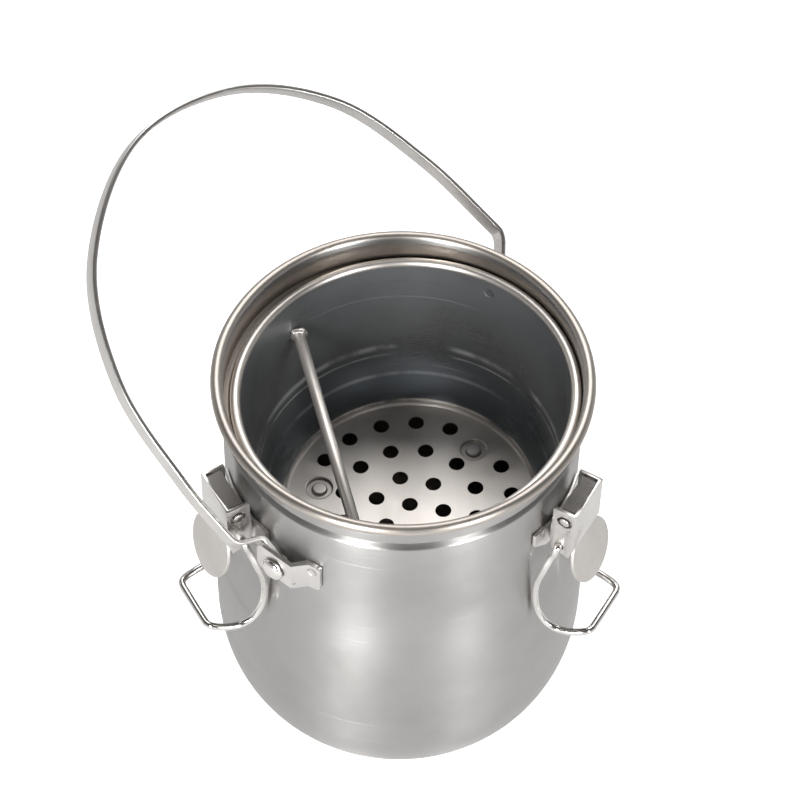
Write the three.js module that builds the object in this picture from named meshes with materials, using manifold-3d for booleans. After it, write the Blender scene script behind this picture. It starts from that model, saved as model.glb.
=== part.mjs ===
// Stainless steel brush washer: an open can with a lift-out strainer cup, a swinging bail and
// three draw latches for a lid. Millimetres, +Z up, origin at the centre of the can's base.
// +X is right and +Y is away, for someone facing the front of the can.
import * as THREE from 'three';
import { mergeVertices } from 'three/addons/utils/BufferGeometryUtils.js';
import Module from 'manifold-3d';

const wasm = await Module();
wasm.setup();

// Clearance between pieces that touch on the real can
const gap = 0.3;

// Can
const canHeight = 126.35;
const rimRadius = 51;
const canBeadRadius = 1.55;
const beadStandOff = 1.15;
const bellySwell = 4;
const cornerReach = 16.5;
const cornerHeight = 31;
const bellyTop = 40.8;
const neckDepth = 36;
const canWall = 0.5;
const grooveDrop = 9.2;
const grooveDepth = 2;
const grooveHalfHeight = 1.8;

// Strainer cup, hanging by its rim on the ledge that the groove makes inside the neck
const cupRimGap = 1;
const cupSeatGap = 0.24;
const cupBeadRadius = 1.4;
const cupWall = 0.5;
const cupShift = 0.7;
const cupLean = 2.2;
const cupMouthInset = 2.2;
const cupWallDepth = 31.4;
const cupShoulderDrop = 7.6;
const cupShoulderInset = 3.9;
const cupWellDrop = 10.2;
const cupWellLean = 0.4;
const cupWellInset = 2.2;
const cupFloorDrop = 1.6;
const cupFloorInset = 0.9;
const holeRadius = 2.3;
const holeRings = 3;
const holeMargin = 6;
const firstFootTurn = 47.3;
const footRadius = 2.1;
const footGrooveRadius = 3.9;
const footInset = 8.6;
const footDrop = 0.9;
const feet = 3;

// Wiping bar across the cup
const barRadius = 1.6;
const barDepth = 11;
const barOffset = 21.65;
const barTurn = 14.9;
const weldRadius = 2.5;
const weldSink = 1;

// Bail and its lugs
const bailPivotDrop = 30.5;
const bailLean = 55;
const bailWidth = 5.1;
const bailThickness = 1.3;
const bailLatchSpare = 1.4;
const bailFarSpread = 18.8;
const bailHeight = 109;
const bailTail = 4.6;
const bailStepSpare = 0.726;
const bailNearBend = 2.57;
const bailFarBend = 2.16;
const bailFarSink = 0.5;
const lugThickness = 1.2;
const lugHalfHeight = 5;
const lugRise = 1;
const lugCorner = 2.2;
const lugBack = 6;
const lugTailGap = 0.108;
const lugFootGap = 0.4;
const pivotLatchGap = 5.281;
const lugFlangeStart = 10.4;
const lugFlangeEnd = 14.4;
const rivetRadius = 1.5;
const rivetHeadRadius = 3.4;
const rivetHeadHeight = 1.9;
const rivetHeadEdge = 0.4;
const rivetTailRadius = 2.4;
const bailBodyGap = 0.1;

// Draw latches
const latchPlaces = ['back', 'left', 'right'];
const firstLatchTurn = 90.5;
const pinDrop = 18.2;
const pinStandOff = 5.4;
const pinRadius = 1.4;
const pinHoleSpare = 0.8;
const leverHalfWidth = 7.5;
const leverSheet = 0.9;
const leverInnerDepth = 3.5;
const leverOuterDepth = 3.2;
const leverTopRise = 4.2;
const leverChamfer = 0.4;
const topFlangeDepth = 1.9;
const topFlangeSink = 0.4;
const flangeSlot = 0.7;
const earMargin = 2.4;
const earTip = 3.6;
const earTipInset = 1.1;
const webRise = 0.4;
const discRadius = 9.2;
const discTilt = 17;
const discDrop = 6.9;
const discOverlap = 0.4;
const loopDrop = 11.2;
const loopInset = 0.9;
const loopHalfWidth = 12;
const loopEndHalfWidth = 8.6;
const loopLength = 30.8;
const loopReach = 12.5;
const wireRadius = 1;
const wireHoleSpare = 0.35;
const bracketSheet = 0.9;
const bracketHalfWidth = 12;
const bracketFootHalfWidth = 7.2;
const bracketTop = 23.4;
const bracketEnd = 28;
const bracketBottom = 31.7;
const armGap = 0.9;
const armRise = 0.5;
const armEyeWall = 0.3;

const around = 48;
const rimZ = canHeight - canBeadRadius;
const neckRadius = rimRadius - canBeadRadius - beadStandOff;
const bellyRadius = neckRadius + bellySwell;
const baseRadius = bellyRadius - cornerReach;
const neckBottom = rimZ - neckDepth;
const steelBright = { color: 0xc9c8c6, roughness: 0.25, metalness: 1 };
const steelSatin = { color: 0xb9b7b4, roughness: 0.4, metalness: 1 };
const rad = THREE.MathUtils.degToRad;

// A closed triangle mesh as a solid for cutting and joining
function solid(geometry) {
  const bare = geometry.clone();
  bare.deleteAttribute('normal');
  bare.deleteAttribute('uv');
  const merged = mergeVertices(bare, 1e-3);
  return new wasm.Manifold(new wasm.Mesh({
    numProp: 3,
    vertProperties: Float32Array.from(merged.attributes.position.array),
    triVerts: Uint32Array.from(merged.index.array),
  }));
}

// A solid back as a three.js geometry
function surface(body) {
  const mesh = body.getMesh();
  const geometry = new THREE.BufferGeometry();
  geometry.setAttribute('position', new THREE.BufferAttribute(mesh.vertProperties, 3));
  geometry.setIndex(new THREE.BufferAttribute(mesh.triVerts, 1));
  return geometry;
}

function joined(...geometries) {
  return surface(geometries.map(solid).reduce((all, next) => all.add(next)));
}

function cut(geometry, ...tools) {
  return surface(tools.map(solid).reduce((all, next) => all.subtract(next), solid(geometry)));
}

function common(geometry, other) {
  return surface(solid(geometry).intersect(solid(other)));
}

function mesh(name, geometry, look) {
  const piece = new THREE.Mesh(geometry, new THREE.MeshStandardMaterial(look));
  piece.name = name;
  return piece;
}

// Profiles are lists of [radius, z], turned about the Z axis
function turned(profile, segments = around) {
  const points = profile.map(([r, z]) => new THREE.Vector2(r, z));
  const lathe = new THREE.LatheGeometry([...points, points[0]], segments);
  return lathe.rotateX(Math.PI / 2);
}

function ring(inner, outer, low, high, segments = around) {
  return turned([[inner, low], [outer, low], [outer, high], [inner, high]], segments);
}

function disc(radius, low, high, segments = 16) {
  return turned([[0, low], [radius, low], [radius, high], [0, high]], segments);
}

function onCircle(radius, degrees) {
  return [radius * Math.cos(rad(degrees)), radius * Math.sin(rad(degrees))];
}

function arc(cx, cz, rx, rz, from, to, steps) {
  return Array.from({ length: steps + 1 }, (_, i) => {
    const a = from + (to - from) * i / steps;
    return [cx + rx * Math.cos(a), cz + rz * Math.sin(a)];
  });
}

// The same profile moved sideways by a sheet's thickness, to the left of its direction
function offset(profile, distance) {
  return profile.map(([r, z], i) => {
    const before = profile[Math.max(i - 1, 0)];
    const after = profile[Math.min(i + 1, profile.length - 1)];
    const dr = after[0] - before[0];
    const dz = after[1] - before[1];
    const length = Math.hypot(dr, dz);
    return [r === 0 ? 0 : r - dz / length * distance, z + dr / length * distance];
  });
}

// A flat plate: an outline in the XY plane, pulled up by its thickness, with round holes
function plate(outline, thickness, holes = []) {
  const shape = new THREE.Shape(outline.map(([x, y]) => new THREE.Vector2(x, y)));
  for (const [x, y, radius, sides] of holes) {
    const turn = 2 * Math.PI / sides;
    const points = Array.from({ length: sides }, (_, i) => new THREE.Vector2(
      x + radius * Math.cos(-turn * i), y + radius * Math.sin(-turn * i)));
    shape.holes.push(new THREE.Path(points));
  }
  return new THREE.ExtrudeGeometry(shape, { depth: thickness, bevelEnabled: false });
}

// An upright plate in a latch's frame: an outline of [outward, z] between two widths
function upright(outline, low, high, holes) {
  const geometry = plate(outline, high - low, holes);
  return geometry.rotateX(Math.PI / 2).translate(0, high, 0);
}

// An upright block with round corners, seen from outside the can, between two widths
function roundedPlate(low, high, halfHeight, corner, reach) {
  const middle = halfHeight - corner;
  const rounds = [
    arc(high - corner, middle, corner, corner, 0, Math.PI / 2, 4),
    arc(low + corner, middle, corner, corner, Math.PI / 2, Math.PI, 4),
    arc(low + corner, -middle, corner, corner, Math.PI, 1.5 * Math.PI, 4),
    arc(high - corner, -middle, corner, corner, 1.5 * Math.PI, 2 * Math.PI, 4),
  ];
  return plate(rounds.flat(), reach).rotateX(Math.PI / 2).rotateZ(Math.PI / 2)
    .translate(reach / 2, 0, 0);
}

// The can

// Outer radius between the belly and the neck, which flare into each other
function canRadius(z) {
  const u = THREE.MathUtils.clamp((z - bellyTop) / (neckBottom - bellyTop), 0, 1);
  return neckRadius + (bellyRadius - neckRadius) * (1 + Math.cos(Math.PI * u)) / 2;
}

function grooveInset(z) {
  const u = (z - (rimZ - grooveDrop)) / grooveHalfHeight;
  return Math.abs(u) < 1 ? grooveDepth * (1 + Math.cos(Math.PI * u)) / 2 : 0;
}

function canOutline() {
  const flareSteps = 6;
  const grooveSteps = 6;
  const cornerSteps = 8;
  const flare = Array.from({ length: flareSteps + 1 }, (_, i) => {
    const z = bellyTop + (neckBottom - bellyTop) * i / flareSteps;
    return [canRadius(z), z];
  });
  const groove = Array.from({ length: grooveSteps + 1 }, (_, i) => {
    const z = rimZ - grooveDrop + grooveHalfHeight * (2 * i / grooveSteps - 1);
    return [neckRadius - grooveInset(z), z];
  });
  const corner = arc(baseRadius, cornerHeight, bellyRadius - baseRadius, cornerHeight,
    -Math.PI / 2, 0, cornerSteps);
  return [[0, 0], ...corner, ...flare, ...groove];
}

function canBody() {
  const outside = canOutline();
  const beadCentre = rimRadius - canBeadRadius;
  const start = Math.PI + Math.acos((beadCentre - neckRadius) / canBeadRadius);
  const bead = arc(beadCentre, rimZ, canBeadRadius, canBeadRadius, start, 3 * Math.PI, 9);
  const inside = offset(outside, canWall).reverse();
  const top = [neckRadius - canWall, rimZ - canBeadRadius / 2];
  return turned([...outside, ...bead, top, ...inside]);
}

// The strainer cup

const cupRimRadius = neckRadius - canWall - cupRimGap;

// Height of the can's inner ledge under a ball at a given distance from the axis
function ledgeHeight(reach, spare) {
  const ledge = offset(canOutline(), canWall);
  const steps = 8;
  const between = Array.from({ length: steps + 1 }, (_, n) => n / steps);
  const heights = ledge.slice(1).flatMap(([r, z], i) => between.map((share) => {
    const away = reach - THREE.MathUtils.lerp(ledge[i][0], r, share);
    const low = THREE.MathUtils.lerp(ledge[i][1], z, share);
    return Math.abs(away) < spare ? low + Math.sqrt(spare ** 2 - away ** 2) : 0;
  }));
  return Math.max(...heights);
}

// Height of the leaning cup's rim, whose bead rests on the ledge at its lowest side
function cupSeat() {
  const beadCentre = cupRimRadius - cupBeadRadius;
  const seats = Array.from({ length: around }, (_, i) => {
    const [x, y] = onCircle(beadCentre, 360 * i / around);
    const reach = Math.hypot(x * Math.cos(rad(cupLean)) + cupShift, y);
    return ledgeHeight(reach, cupBeadRadius + cupSeatGap) - x * Math.sin(rad(cupLean));
  });
  return Math.max(...seats);
}

const cupRimZ = cupSeat();
const cupMouth = cupRimRadius - 2 * cupBeadRadius;
const cupThroat = cupMouth - cupMouthInset;
const cupWellRadius = cupThroat - cupShoulderInset - cupWellInset;
const cupFloorRadius = cupWellRadius - cupFloorInset;
const holePitch = (cupFloorRadius - holeMargin) / holeRings;
const footCircleRadius = cupFloorRadius - footInset;
const cupFloorZ = -cupWallDepth - cupShoulderDrop - cupWellDrop - cupFloorDrop;

function cupInside() {
  const wallEnd = -cupWallDepth;
  const shoulderZ = wallEnd - cupShoulderDrop;
  const wellZ = shoulderZ - cupWellDrop;
  const curve = new THREE.CubicBezierCurve(
    new THREE.Vector2(cupWellRadius, wellZ),
    new THREE.Vector2(cupWellRadius + cupWellLean, wellZ + cupWellDrop * 0.6),
    new THREE.Vector2(cupThroat, shoulderZ + cupWellLean / 4),
    new THREE.Vector2(cupThroat, wallEnd),
  );
  const wall = curve.getPoints(7).map((p) => [p.x, p.y]);
  const floorCorner = arc(cupFloorRadius, cupFloorZ + cupFloorDrop, cupFloorInset, cupFloorDrop,
    -Math.PI / 2, 0, 4);
  return [[0, cupFloorZ], ...floorCorner.slice(0, -1), ...wall, [cupMouth, 0]];
}

// Rings of 6, 12 and 18 places; the feet take three places of the outer ring
function cupHoles() {
  const holes = [[0, 0]];
  for (let n = 1; n <= holeRings; n += 1) {
    const count = 6 * n;
    for (let i = 0; i < count; i += 1) {
      const onFoot = n === holeRings && i % (count / feet) === 0;
      if (!onFoot) holes.push(onCircle(n * holePitch, firstFootTurn + 360 * i / count));
    }
  }
  return holes;
}

function strainerCup() {
  const inside = cupInside();
  const beadCentre = cupRimRadius - cupBeadRadius;
  const outerMouth = cupMouth + cupWall;
  const start = Math.PI + Math.acos((beadCentre - outerMouth) / cupBeadRadius);
  const bead = arc(beadCentre, 0, cupBeadRadius, cupBeadRadius, start, 3 * Math.PI, 8);
  const outside = offset(inside, -cupWall).slice(0, -1);
  const shell = turned([...outside, ...bead, ...inside.slice(0, -1).reverse()]);
  const pads = [];
  const grooves = [];
  for (let i = 0; i < feet; i += 1) {
    const [x, y] = onCircle(footCircleRadius, firstFootTurn + 360 * i / feet);
    const padLow = cupFloorZ - cupWall - footDrop;
    pads.push(disc(footGrooveRadius + cupWall, padLow, cupFloorZ - cupWall / 2).translate(x, y, 0));
    grooves.push(ring(footRadius, footGrooveRadius, padLow + cupWall, cupFloorZ + cupWall, 16)
      .translate(x, y, 0));
  }
  const drill = disc(holeRadius, cupFloorZ - 4 * cupWall, cupFloorZ + cupWall, 12);
  const drills = cupHoles().map(([x, y]) => drill.clone().translate(x, y, 0));
  return cut(joined(shell, ...pads), ...grooves, ...drills);
}

function wipingBar() {
  const wallRadius = cupMouth - cupMouthInset * barDepth / cupWallDepth;
  const half = Math.sqrt(wallRadius ** 2 - barOffset ** 2);
  const rod = new THREE.CylinderGeometry(barRadius, barRadius, 2 * half, 12);
  const welds = [-half, half].map((y) => new THREE.SphereGeometry(weldRadius, 12, 8)
    .scale(1, 0.7, 1).translate(0, y - Math.sign(y) * weldSink, 0));
  const whole = joined(rod, ...welds).translate(-barOffset, 0, 0).rotateZ(rad(barTurn));
  const inner = (wallRadius - gap) * Math.cos(Math.PI / around) - gap / 3;
  const fits = disc(inner, -2 * weldRadius, 2 * weldRadius, around);
  return common(whole, fits).translate(0, 0, -barDepth);
}

// The cup sits a little askew in the can, as in the photo, with its right side up
function cup() {
  const group = new THREE.Group();
  group.position.set(cupShift, 0, cupRimZ);
  group.rotation.y = -rad(cupLean);
  group.add(mesh('strainer_cup', strainerCup(), steelSatin));
  group.add(mesh('wiping_bar', wipingBar(), steelBright));
  return group;
}

// The bail

const bailPivotZ = rimZ - bailPivotDrop;
const bailFootReach = neckRadius + gap + bracketSheet + bailBodyGap + bailThickness / 2;
const bailReachNear = neckRadius + pinStandOff + leverOuterDepth + bailLatchSpare;
const bailReachFar = neckRadius + bailFarSpread;

function latchTurn(place) {
  return firstLatchTurn + 360 * latchPlaces.indexOf(place) / latchPlaces.length;
}

// The near lug's pivot stands beside the left latch
const latchReach = Math.max(bracketHalfWidth, 0.9 * loopHalfWidth);
const bailTurn = latchTurn('left')
  + THREE.MathUtils.radToDeg((latchReach + pivotLatchGap) / neckRadius);

// The bail steps outward beyond the lug's corners, and the lug's web stands clear of its tail
const lugReach = Math.hypot(lugBack - lugCorner, lugHalfHeight + lugRise - lugCorner) + lugCorner;
const bailStep = lugReach + bailStepSpare;
const lugFront = Math.hypot(bailTail, bailWidth / 2) + lugThickness / 2 + lugTailGap;

// Middle line of the bent strip, as [along the hinge line, up the bail], from the near foot
function bailLine() {
  const bow = new THREE.SplineCurve([
    [0.984 * bailReachNear, 0.13 * bailHeight],
    [0.988 * bailReachNear, 0.31 * bailHeight],
    [0.924 * bailReachNear, 0.586 * bailHeight],
    [0.645 * bailReachNear, 0.844 * bailHeight],
    [0.101 * bailReachNear, 1.004 * bailHeight],
    [-0.415 * bailReachFar, 0.954 * bailHeight],
    [-0.77 * bailReachFar, 0.762 * bailHeight],
    [-0.931 * bailReachFar, 0.502 * bailHeight],
    [-bailReachFar, 0.242 * bailHeight],
  ].map(([s, h]) => new THREE.Vector2(s, h)));
  const bent = bow.getPoints(32).map((p) => [p.x, p.y]);
  return [
    [bailFootReach, -bailTail], [bailFootReach, bailStep],
    [0.976 * bailReachNear, 0.13 * bailHeight - bailNearBend],
    ...bent,
    [bailFarSink - bailReachFar, 0.242 * bailHeight - bailFarBend],
    [-bailFootReach, bailStep], [-bailFootReach, -bailTail],
  ];
}

function bailFrame() {
  const along = new THREE.Vector3(Math.cos(rad(bailTurn)), Math.sin(rad(bailTurn)), 0);
  const side = new THREE.Vector3(along.y, -along.x, 0);
  const up = new THREE.Vector3(0, 0, Math.cos(rad(bailLean)));
  up.addScaledVector(side, Math.sin(rad(bailLean)));
  const frame = new THREE.Matrix4().makeBasis(along, up, along.clone().cross(up));
  return frame.setPosition(0, 0, bailPivotZ);
}

function bail() {
  const line = bailLine();
  const left = offset(line, bailThickness / 2);
  const right = offset(line, -bailThickness / 2);
  const strip = plate([...left, ...right.reverse()], bailWidth).translate(0, 0, -bailWidth / 2);
  const drill = new THREE.CylinderGeometry(rivetRadius + gap, rivetRadius + gap, bailWidth, 14);
  const drills = [1, -1].map((sign) => drill.clone().rotateZ(Math.PI / 2)
    .translate(sign * bailFootReach, 0, 0));
  return cut(strip, ...drills).applyMatrix4(bailFrame());
}

// A lug: a strip welded to the neck at one end and stepped out over the bail's foot

const lugInner = bailFootReach + bailThickness / 2 + lugFootGap;

function lug() {
  const flangeInner = neckRadius + gap;
  const flangeOuter = flangeInner + lugThickness;
  const lugOuter = lugInner + lugThickness;
  const flange = (radius, from, to) => arc(0, 0, radius, radius, rad(from), rad(to), 3);
  const outline = [
    [lugInner, -lugBack], [lugOuter, -lugBack], [lugOuter, lugFront],
    ...flange(flangeOuter, lugFlangeStart, lugFlangeEnd),
    ...flange(flangeInner, lugFlangeEnd, lugFlangeStart - 1.2),
    [lugInner, lugFront - lugThickness / 2],
  ];
  const strip = plate(outline, 2 * lugHalfHeight).translate(0, 0, -lugHalfHeight);
  const end = flangeOuter * Math.sin(rad(lugFlangeEnd)) + gap;
  const face = roundedPlate(-lugBack, end, lugHalfHeight, lugCorner, rimRadius);
  const drill = new THREE.CylinderGeometry(rivetRadius + gap, rivetRadius + gap, lugBack, 14)
    .rotateZ(Math.PI / 2).translate(lugInner, 0, 0);
  return cut(common(strip, face).translate(0, 0, lugRise), drill);
}

function rivet() {
  const tailLow = neckRadius + gap;
  const tailHigh = bailFootReach - bailThickness / 2 - gap;
  const headLow = lugInner + lugThickness + gap;
  const domeHeight = rivetHeadHeight - rivetHeadEdge;
  const dome = arc(0, headLow + rivetHeadEdge, rivetHeadRadius, domeHeight, 0, Math.PI / 2, 5);
  return turned([
    [0, tailLow], [rivetTailRadius, tailLow], [rivetTailRadius, tailHigh],
    [rivetRadius, tailHigh], [rivetRadius, headLow], [rivetHeadRadius, headLow],
    ...dome.slice(0, -1), [0, headLow + rivetHeadHeight],
  ], 18).rotateY(Math.PI / 2);
}

// A draw latch, in a frame with +X outward, +Y round the can and +Z up

const pinX = neckRadius + pinStandOff;
const pinZ = rimZ - pinDrop;
const loopX = pinX - loopInset;
const loopZ = pinZ - loopDrop;
const armOuter = leverHalfWidth - leverSheet - armGap;
const armInner = armOuter - bracketSheet;
const armEyeRadius = pinRadius + gap + armEyeWall;

function bracket() {
  const hug = neckRadius + gap;
  const front = [
    [bracketHalfWidth, rimZ - bracketTop], [-bracketHalfWidth, rimZ - bracketTop],
    [-bracketHalfWidth, rimZ - bracketEnd], [-bracketFootHalfWidth, rimZ - bracketBottom],
    [bracketFootHalfWidth, rimZ - bracketBottom], [bracketHalfWidth, rimZ - bracketEnd],
  ];
  const face = plate(front, rimRadius).rotateX(Math.PI / 2).rotateZ(Math.PI / 2);
  const base = common(ring(hug, hug + bracketSheet, rimZ - bracketBottom, rimZ - bracketTop), face);
  const inside = neckRadius * 0.9;
  const eye = arc(pinX, pinZ, armEyeRadius, armEyeRadius, rad(-50), rad(215), 10);
  const armBottom = rimZ - bracketBottom + armRise;
  const arm = [
    [inside, armBottom], [hug + bracketSheet - armRise, armBottom],
    ...eye, [hug + bracketSheet, rimZ - bracketTop], [inside, rimZ - bracketTop],
  ];
  const pinHole = [[pinX, pinZ, pinRadius + gap, 14]];
  const plates = [
    upright(arm, armInner, armOuter, pinHole), upright(arm, -armOuter, -armInner, pinHole),
  ];
  return cut(joined(base, ...plates), disc(hug, 0, canHeight, around));
}

function latchPin() {
  const length = 2 * (leverHalfWidth + gap);
  return new THREE.CylinderGeometry(pinRadius, pinRadius, length, 14).translate(pinX, 0, pinZ);
}

function lever() {
  const inner = pinX - leverInnerDepth;
  const outer = pinX + leverOuterDepth;
  const top = pinZ + leverTopRise;
  const webLow = loopZ + webRise;
  const ear = [
    [inner, loopZ - earMargin], [outer - earTipInset, loopZ - earTip], [outer, webLow],
    [outer, top], [inner + leverChamfer, top], [inner, top - leverChamfer],
  ];
  const holes = [
    [pinX, pinZ, pinRadius + pinHoleSpare, 16], [loopX, loopZ, wireRadius + wireHoleSpare, 12],
  ];
  const ears = [
    upright(ear, leverHalfWidth - leverSheet, leverHalfWidth, holes),
    upright(ear, -leverHalfWidth, leverSheet - leverHalfWidth, holes),
  ];
  const web = new THREE.BoxGeometry(leverSheet, 2 * leverHalfWidth - leverSheet, top - webLow)
    .translate(outer - leverSheet / 2, 0, (top + webLow) / 2);
  const flangeWidth = 2 * (leverHalfWidth - leverSheet - flangeSlot);
  const flangeDepth = topFlangeDepth + leverOuterDepth;
  const topFlange = new THREE.BoxGeometry(flangeDepth, flangeWidth, leverSheet)
    .translate(outer - flangeDepth / 2, 0, top - topFlangeSink - leverSheet / 2);
  const pad = disc(discRadius, -leverSheet, 0, 28).rotateY(Math.PI / 2)
    .translate(0, 0, -discDrop).rotateY(rad(-discTilt)).translate(outer, 0, webLow);
  const half = 2 * discRadius;
  const below = new THREE.BoxGeometry(2 * half, 2 * half, 2 * half)
    .translate(outer, 0, webLow + discOverlap - half);
  return joined(...ears, web, topFlange, common(pad, below));
}

// Middle line of the wire loop: in through an ear, down along the can, out to the cross-bar
function loopPoints() {
  const beside = (spare, t, z) => Math.sqrt((canRadius(z) + (1 + spare) * wireRadius) ** 2 - t ** 2);
  const heel = loopZ - 0.98 * loopLength;
  const heelX = beside(2.4, 0.98 * loopHalfWidth, heel);
  const start = [
    [leverHalfWidth - 1.6 * wireRadius, loopX, loopZ],
    [leverHalfWidth + 0.5 * wireRadius, loopX, loopZ],
    [leverHalfWidth + 1.5 * wireRadius, loopX - 0.3 * wireRadius, loopZ - wireRadius],
  ];
  const leg = [[0.77, 3.2, 0.12], [0.9, 2.6, 0.25], [0.975, 1.15, 0.45], [1, 0.5, 0.64], [1, 0.75, 0.84]]
    .map(([width, spare, drop]) => {
      const t = width * loopHalfWidth;
      const z = loopZ - drop * loopLength;
      return [t, beside(spare, t, z), z];
    });
  const shelf = [[0.98, 0, 0.98], [0.94, 0.26, 1.045], [0.89, 0.53, 1.04], [0.81, 0.78, 1.016]]
    .map(([width, out, drop]) => {
      return [width * loopHalfWidth, heelX + out * loopReach, loopZ - drop * loopLength];
    });
  const bar = [
    [loopEndHalfWidth, heelX + 0.93 * loopReach, loopZ - loopLength],
    [loopEndHalfWidth - 1.2 * wireRadius, heelX + 0.985 * loopReach, loopZ - loopLength],
    [loopEndHalfWidth - 3.2 * wireRadius, heelX + loopReach, loopZ - loopLength],
  ];
  const near = [...start, ...leg, ...shelf, ...bar];
  const far = near.map(([t, x, z]) => [-t, x, z]).reverse();
  return [...near, ...far].map(([t, x, z]) => new THREE.Vector3(x, t, z));
}

function wireLoop() {
  const sides = 7;
  const section = new THREE.Shape(Array.from({ length: sides }, (_, i) => new THREE.Vector2(
    wireRadius * Math.cos(2 * Math.PI * i / sides), wireRadius * Math.sin(2 * Math.PI * i / sides))));
  const path = new THREE.CatmullRomCurve3(loopPoints());
  return new THREE.ExtrudeGeometry(section, { steps: 64, bevelEnabled: false, extrudePath: path });
}

function latch(place) {
  const group = new THREE.Group();
  group.rotation.z = rad(latchTurn(place));
  group.add(mesh(`${place}_latch_bracket`, bracket(), steelSatin));
  group.add(mesh(`${place}_latch_pin`, latchPin(), steelBright));
  group.add(mesh(`${place}_latch_lever`, lever(), steelSatin));
  group.add(mesh(`${place}_latch_loop`, wireLoop(), steelBright));
  return group;
}

// The two lugs are a mirrored pair, so that the bail can lean to the same side at both
function bailMount(place, turn, mirrored) {
  const group = new THREE.Group();
  group.rotation.z = rad(turn);
  group.position.z = bailPivotZ;
  const strip = mirrored ? surface(solid(lug()).mirror([0, 1, 0])) : lug();
  group.add(mesh(`${place}_bail_lug`, strip, steelSatin));
  group.add(mesh(`${place}_bail_rivet`, rivet(), steelBright));
  return group;
}

const washer = new THREE.Group();
washer.add(mesh('can_body', canBody(), steelSatin));
washer.add(cup());
washer.add(mesh('bail', bail(), steelSatin));
washer.add(bailMount('near', bailTurn, false));
washer.add(bailMount('far', bailTurn - 180, true));
for (const place of latchPlaces) washer.add(latch(place));

export default washer;
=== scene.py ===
# %% [markdown]
# # A stainless steel brush washer
# The washer is a spun can with a rolled rim. A drilled strainer cup hangs inside it, a bail
# swings over it, and three draw latches wait for a lid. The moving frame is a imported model
# whose parts already have their true size and place, so this script only dresses them.
# Sizes below are in millimetres, as on a drawing, and one factor turns them into metres.

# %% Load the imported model
import math

import bmesh
import bpy
from mathutils import Matrix, Vector


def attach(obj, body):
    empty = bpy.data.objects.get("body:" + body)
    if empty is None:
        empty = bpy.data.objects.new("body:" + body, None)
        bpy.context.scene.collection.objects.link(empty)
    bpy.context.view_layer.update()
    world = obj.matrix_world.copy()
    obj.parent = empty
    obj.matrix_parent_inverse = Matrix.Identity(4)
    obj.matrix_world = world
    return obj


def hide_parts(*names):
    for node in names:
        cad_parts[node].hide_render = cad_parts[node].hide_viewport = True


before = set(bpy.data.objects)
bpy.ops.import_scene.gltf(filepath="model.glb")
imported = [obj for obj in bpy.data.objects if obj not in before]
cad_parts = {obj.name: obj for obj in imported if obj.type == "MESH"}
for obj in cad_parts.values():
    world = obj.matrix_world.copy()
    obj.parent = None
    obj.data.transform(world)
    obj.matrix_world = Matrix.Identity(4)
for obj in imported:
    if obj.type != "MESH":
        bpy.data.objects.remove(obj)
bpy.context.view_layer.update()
MM = 0.001
print("parts loaded:", len(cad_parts))

# %% [markdown]
# Blender shows an object only once it is linked to the scene. One small function makes and
# links every object below, so that this is never forgotten.


# %% Link objects in one way
def new_object(name, data):
    thing = bpy.data.objects.new(name, data)
    bpy.context.scene.collection.objects.link(thing)
    return thing


print("scene:", bpy.context.scene.name)

# %% [markdown]
# ## Camera
# The picture was taken from above with a long lens. The tilt, the small roll and the place were
# worked out from the ellipses of the rim, the strainer floor and the base. A real size, a lens
# and a place are all that a camera needs, so no constraint or target object is used.

# %% Place the camera
LENS, SENSOR = 130.5, 36
TILT_DOWN = math.radians(52.06)
ROLL = math.radians(1.23)
CAMERA_PLACE = Vector((-0.74, -475.9, 725.65)) * MM


def make_camera():
    data = bpy.data.cameras.new("camera")
    data.lens = LENS
    data.sensor_width = SENSOR
    data.clip_start = 10 * MM
    camera = new_object("camera", data)
    pitch = Matrix.Rotation(math.pi / 2 - TILT_DOWN, 4, "X")
    roll = Matrix.Rotation(ROLL, 4, "Z")
    camera.matrix_world = Matrix.Translation(CAMERA_PLACE) @ pitch @ roll
    bpy.context.scene.camera = camera
    return camera


camera = make_camera()
bpy.context.scene.view_settings.view_transform = "Standard"
print("camera is", round(camera.location.length, 3), "m from the base")

# %% [markdown]
# ## Shader expressions
# Node graphs are easier to read as sums. One class wraps an output socket, so that
# `1 - mask * 0.5` adds the Math nodes by itself, and one method adds any other node. Settings
# such as a Math node's operation go in before the sockets, because they decide which exist.


# %% Wrap sockets so that they can be added and multiplied
class Signal:
    def __init__(self, graph, socket):
        self.graph = graph
        self.socket = socket

    def math(self, operation, first, second=0.0):
        return self.graph.add("ShaderNodeMath", {"operation": operation}, {0: first, 1: second})

    def __add__(self, other):
        return self.math("ADD", self, other)

    def __sub__(self, other):
        return self.math("SUBTRACT", self, other)

    def __rsub__(self, other):
        return self.math("SUBTRACT", other, self)

    def __mul__(self, other):
        return self.math("MULTIPLY", self, other)

    __radd__ = __add__
    __rmul__ = __mul__

    def step(self, low, high):
        """0 below low and 1 above high, with a smooth climb between them."""
        settings = {"interpolation_type": "SMOOTHSTEP"}
        return self.graph.add("ShaderNodeMapRange", settings, {0: self, 1: low, 2: high})


class Graph:
    def __init__(self, tree):
        self.tree = tree
        tree.nodes.clear()

    def add(self, kind, settings=None, sockets=None, output=0):
        node = self.tree.nodes.new(kind)
        for name, value in (settings or {}).items():
            setattr(node, name, value)
        for key, value in (sockets or {}).items():
            if isinstance(value, Signal):
                self.tree.links.new(value.socket, node.inputs[key])
            else:
                node.inputs[key].default_value = value
        return Signal(self, node.outputs[output]) if len(node.outputs) else node

    def mix(self, factor, first, second):
        """Colours mixed by a number or a signal."""
        sockets = {0: factor, 6: first, 7: second}
        return self.add("ShaderNodeMix", {"data_type": "RGBA"}, sockets, 2)

    def noise(self, place, scale, detail, roughness=0.5):
        sockets = {"Vector": place, "Scale": scale, "Detail": detail, "Roughness": roughness}
        return self.add("ShaderNodeTexNoise", sockets=sockets)


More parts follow.
